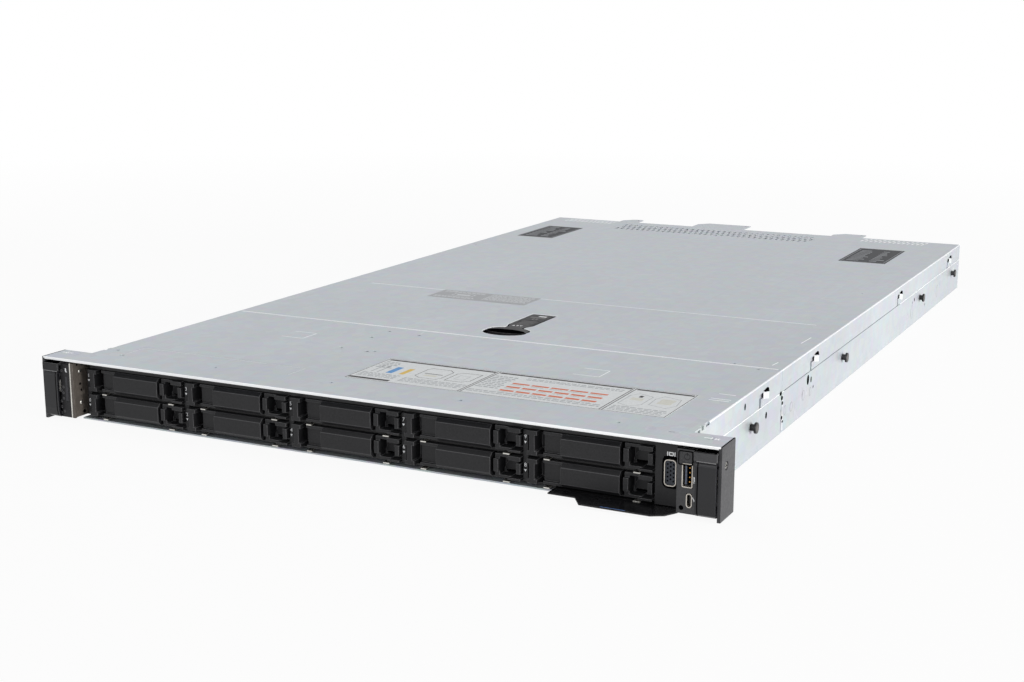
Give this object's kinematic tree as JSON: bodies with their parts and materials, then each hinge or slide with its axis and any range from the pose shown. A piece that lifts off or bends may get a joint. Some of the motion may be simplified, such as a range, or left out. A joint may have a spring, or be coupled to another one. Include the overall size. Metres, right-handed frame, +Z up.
{
  "type": "1u rack server",
  "caption": "Flat rack server: steel tray and sliding cover with a flush latch, blanked drive bays, rack ears, fans, boards, heat sinks and slide-out power supplies.",
  "frame": {"origin": "underside, middle of the width, in the plane of the rack posts' front faces", "axes": "+X to the right seen from the front, +Y to the rear, +Z up"},
  "size_m": [0.482, 0.8233, 0.0428],
  "materials": {
    "galvanised": "matt zinc",
    "black_steel": "satin",
    "black_paint": "satin",
    "bright_steel": "bright",
    "black_plastic": "matt",
    "black_gloss": "gloss",
    "grey_plastic": "matt",
    "orange_plastic": "matt",
    "circuit_board": "satin",
    "aluminium": "extruded"
  },
  "bodies": {
    "chassis": {"chassis_tray": "galvanised", "side_studs": "black_steel", "front_plate": "galvanised", "bay_cover": "galvanised", "right_ear_bracket": "black_paint", "left_ear_bracket": "black_paint", "rack_screws": "bright_steel", "right_control_housing": "black_plastic", "left_status_housing": "black_plastic", "usb_ports": "bright_steel", "vga_panel": "black_plastic", "vga_port": "black_plastic", "drive_cage": "black_paint", "backplane": "circuit_board", "fan_frames": "black_plastic", "fan_cage": "galvanised", "system_board": "circuit_board", "memory_modules": "circuit_board", "processors": "bright_steel", "left_heat_sink": "aluminium", "right_heat_sink": "aluminium", "air_shroud": "black_plastic", "rear_panel": "galvanised", "rear_ports": "bright_steel", "left_riser_cage": "galvanised", "middle_riser_cage": "galvanised", "right_riser_cage": "galvanised"},
    "cover": {"system_cover": "galvanised", "latch_pan": "black_plastic"},
    "latch": {"cover_latch": "black_plastic"},
    "lock": {"latch_lock": "grey_plastic"},
    "tag": {"info_tag": "black_plastic"},
    "button": {"power_button": "black_plastic"},
    "right_slam": {"right_slam_latch": "black_gloss"},
    "left_slam": {"left_slam_latch": "black_gloss"},
    "right_supply": {"right_power_supply": "galvanised"},
    "left_supply": {"left_power_supply": "galvanised"},
    "right_release": {"right_supply_latch": "orange_plastic"},
    "left_release": {"left_supply_latch": "orange_plastic"},
    "right_supply_fan": {"right_supply_rotor": "black_plastic"},
    "left_supply_fan": {"left_supply_rotor": "black_plastic"},
    "blank_01": {"drive_blank_01": "black_plastic"},
    "blank_02": {"drive_blank_02": "black_plastic"},
    "blank_03": {"drive_blank_03": "black_plastic"},
    "blank_04": {"drive_blank_04": "black_plastic"},
    "blank_05": {"drive_blank_05": "black_plastic"},
    "blank_06": {"drive_blank_06": "black_plastic"},
    "blank_07": {"drive_blank_07": "black_plastic"},
    "blank_08": {"drive_blank_08": "black_plastic"},
    "blank_09": {"drive_blank_09": "black_plastic"},
    "blank_10": {"drive_blank_10": "black_plastic"},
    "fan_1": {"fan_rotor_1": "black_plastic"},
    "fan_2": {"fan_rotor_2": "black_plastic"},
    "fan_3": {"fan_rotor_3": "black_plastic"},
    "fan_4": {"fan_rotor_4": "black_plastic"},
    "fan_5": {"fan_rotor_5": "black_plastic"},
    "fan_6": {"fan_rotor_6": "black_plastic"},
    "fan_7": {"fan_rotor_7": "black_plastic"},
    "fan_8": {"fan_rotor_8": "black_plastic"}
  },
  "joints": [
    {"name": "cover_slide", "type": "slide", "parent": "chassis", "child": "cover", "axis": [0, 1, 0], "range_m": [0, 0.012]},
    {"name": "latch_lift", "type": "hinge", "parent": "cover", "child": "latch", "pos_m": [0.0018, 0.25, 0.0384], "axis": [-1, 0, 0], "range_deg": [0, 90]},
    {"name": "lock_turn", "type": "hinge", "parent": "latch", "child": "lock", "pos_m": [0.0018, 0.239, 0.0414], "axis": [0, 0, 1], "range_deg": [0, 90]},
    {"name": "tag_slide", "type": "slide", "parent": "chassis", "child": "tag", "axis": [0, -1, 0], "range_m": [-0.009, 0.045]},
    {"name": "power_press", "type": "slide", "parent": "chassis", "child": "button", "axis": [0, 1, 0], "range_m": [0, 0.001], "stiffness_N_per_m": 500},
    {"name": "right_slam_swing", "type": "hinge", "parent": "chassis", "child": "right_slam", "pos_m": [0.2327, -0.0218, 0.0314], "axis": [-1, 0, 0], "range_deg": [0, 60]},
    {"name": "left_slam_swing", "type": "hinge", "parent": "chassis", "child": "left_slam", "pos_m": [-0.2327, -0.0218, 0.0314], "axis": [-1, 0, 0], "range_deg": [0, 60]},
    {"name": "blank_01_slide", "type": "slide", "parent": "chassis", "child": "blank_01", "axis": [0, -1, 0], "range_m": [0, 0.1]},
    {"name": "blank_02_slide", "type": "slide", "parent": "chassis", "child": "blank_02", "axis": [0, -1, 0], "range_m": [0, 0.1]},
    {"name": "blank_03_slide", "type": "slide", "parent": "chassis", "child": "blank_03", "axis": [0, -1, 0], "range_m": [0, 0.1]},
    {"name": "blank_04_slide", "type": "slide", "parent": "chassis", "child": "blank_04", "axis": [0, -1, 0], "range_m": [0, 0.1]},
    {"name": "blank_05_slide", "type": "slide", "parent": "chassis", "child": "blank_05", "axis": [0, -1, 0], "range_m": [0, 0.1]},
    {"name": "blank_06_slide", "type": "slide", "parent": "chassis", "child": "blank_06", "axis": [0, -1, 0], "range_m": [0, 0.1]},
    {"name": "blank_07_slide", "type": "slide", "parent": "chassis", "child": "blank_07", "axis": [0, -1, 0], "range_m": [0, 0.1]},
    {"name": "blank_08_slide", "type": "slide", "parent": "chassis", "child": "blank_08", "axis": [0, -1, 0], "range_m": [0, 0.1]},
    {"name": "blank_09_slide", "type": "slide", "parent": "chassis", "child": "blank_09", "axis": [0, -1, 0], "range_m": [0, 0.1]},
    {"name": "blank_10_slide", "type": "slide", "parent": "chassis", "child": "blank_10", "axis": [0, -1, 0], "range_m": [0, 0.1]},
    {"name": "fan_1_spin", "type": "hinge", "parent": "chassis", "child": "fan_1", "pos_m": [-0.182, 0.297, 0.021], "axis": [0, 1, 0], "continuous": true},
    {"name": "fan_2_spin", "type": "hinge", "parent": "chassis", "child": "fan_2", "pos_m": [-0.13, 0.297, 0.021], "axis": [0, 1, 0], "continuous": true},
    {"name": "fan_3_spin", "type": "hinge", "parent": "chassis", "child": "fan_3", "pos_m": [-0.078, 0.297, 0.021], "axis": [0, 1, 0], "continuous": true},
    {"name": "fan_4_spin", "type": "hinge", "parent": "chassis", "child": "fan_4", "pos_m": [-0.026, 0.297, 0.021], "axis": [0, 1, 0], "continuous": true},
    {"name": "fan_5_spin", "type": "hinge", "parent": "chassis", "child": "fan_5", "pos_m": [0.026, 0.297, 0.021], "axis": [0, 1, 0], "continuous": true},
    {"name": "fan_6_spin", "type": "hinge", "parent": "chassis", "child": "fan_6", "pos_m": [0.078, 0.297, 0.021], "axis": [0, 1, 0], "continuous": true},
    {"name": "fan_7_spin", "type": "hinge", "parent": "chassis", "child": "fan_7", "pos_m": [0.13, 0.297, 0.021], "axis": [0, 1, 0], "continuous": true},
    {"name": "fan_8_spin", "type": "hinge", "parent": "chassis", "child": "fan_8", "pos_m": [0.182, 0.297, 0.021], "axis": [0, 1, 0], "continuous": true},
    {"name": "right_supply_slide", "type": "slide", "parent": "chassis", "child": "right_supply", "axis": [0, 1, 0], "range_m": [0, 0.18]},
    {"name": "right_release_press", "type": "hinge", "parent": "right_supply", "child": "right_release", "pos_m": [0.2114, 0.7389, 0.0211], "axis": [0, 0, 1], "range_deg": [0, 8], "stiffness_Nm_per_rad": 0.02},
    {"name": "right_supply_fan_spin", "type": "hinge", "parent": "right_supply", "child": "right_supply_fan", "pos_m": [0.1715, 0.722, 0.0211], "axis": [0, 1, 0], "continuous": true},
    {"name": "left_supply_slide", "type": "slide", "parent": "chassis", "child": "left_supply", "axis": [0, 1, 0], "range_m": [0, 0.18]},
    {"name": "left_release_press", "type": "hinge", "parent": "left_supply", "child": "left_release", "pos_m": [-0.1566, 0.7389, 0.0211], "axis": [0, 0, 1], "range_deg": [0, 8], "stiffness_Nm_per_rad": 0.02},
    {"name": "left_supply_fan_spin", "type": "hinge", "parent": "left_supply", "child": "left_supply_fan", "pos_m": [-0.1965, 0.722, 0.0211], "axis": [0, 1, 0], "continuous": true}
  ],
  "couplings": [
    {"joint": "latch_lift", "follows": "cover_slide", "rad_per_m": 130}
  ]
}
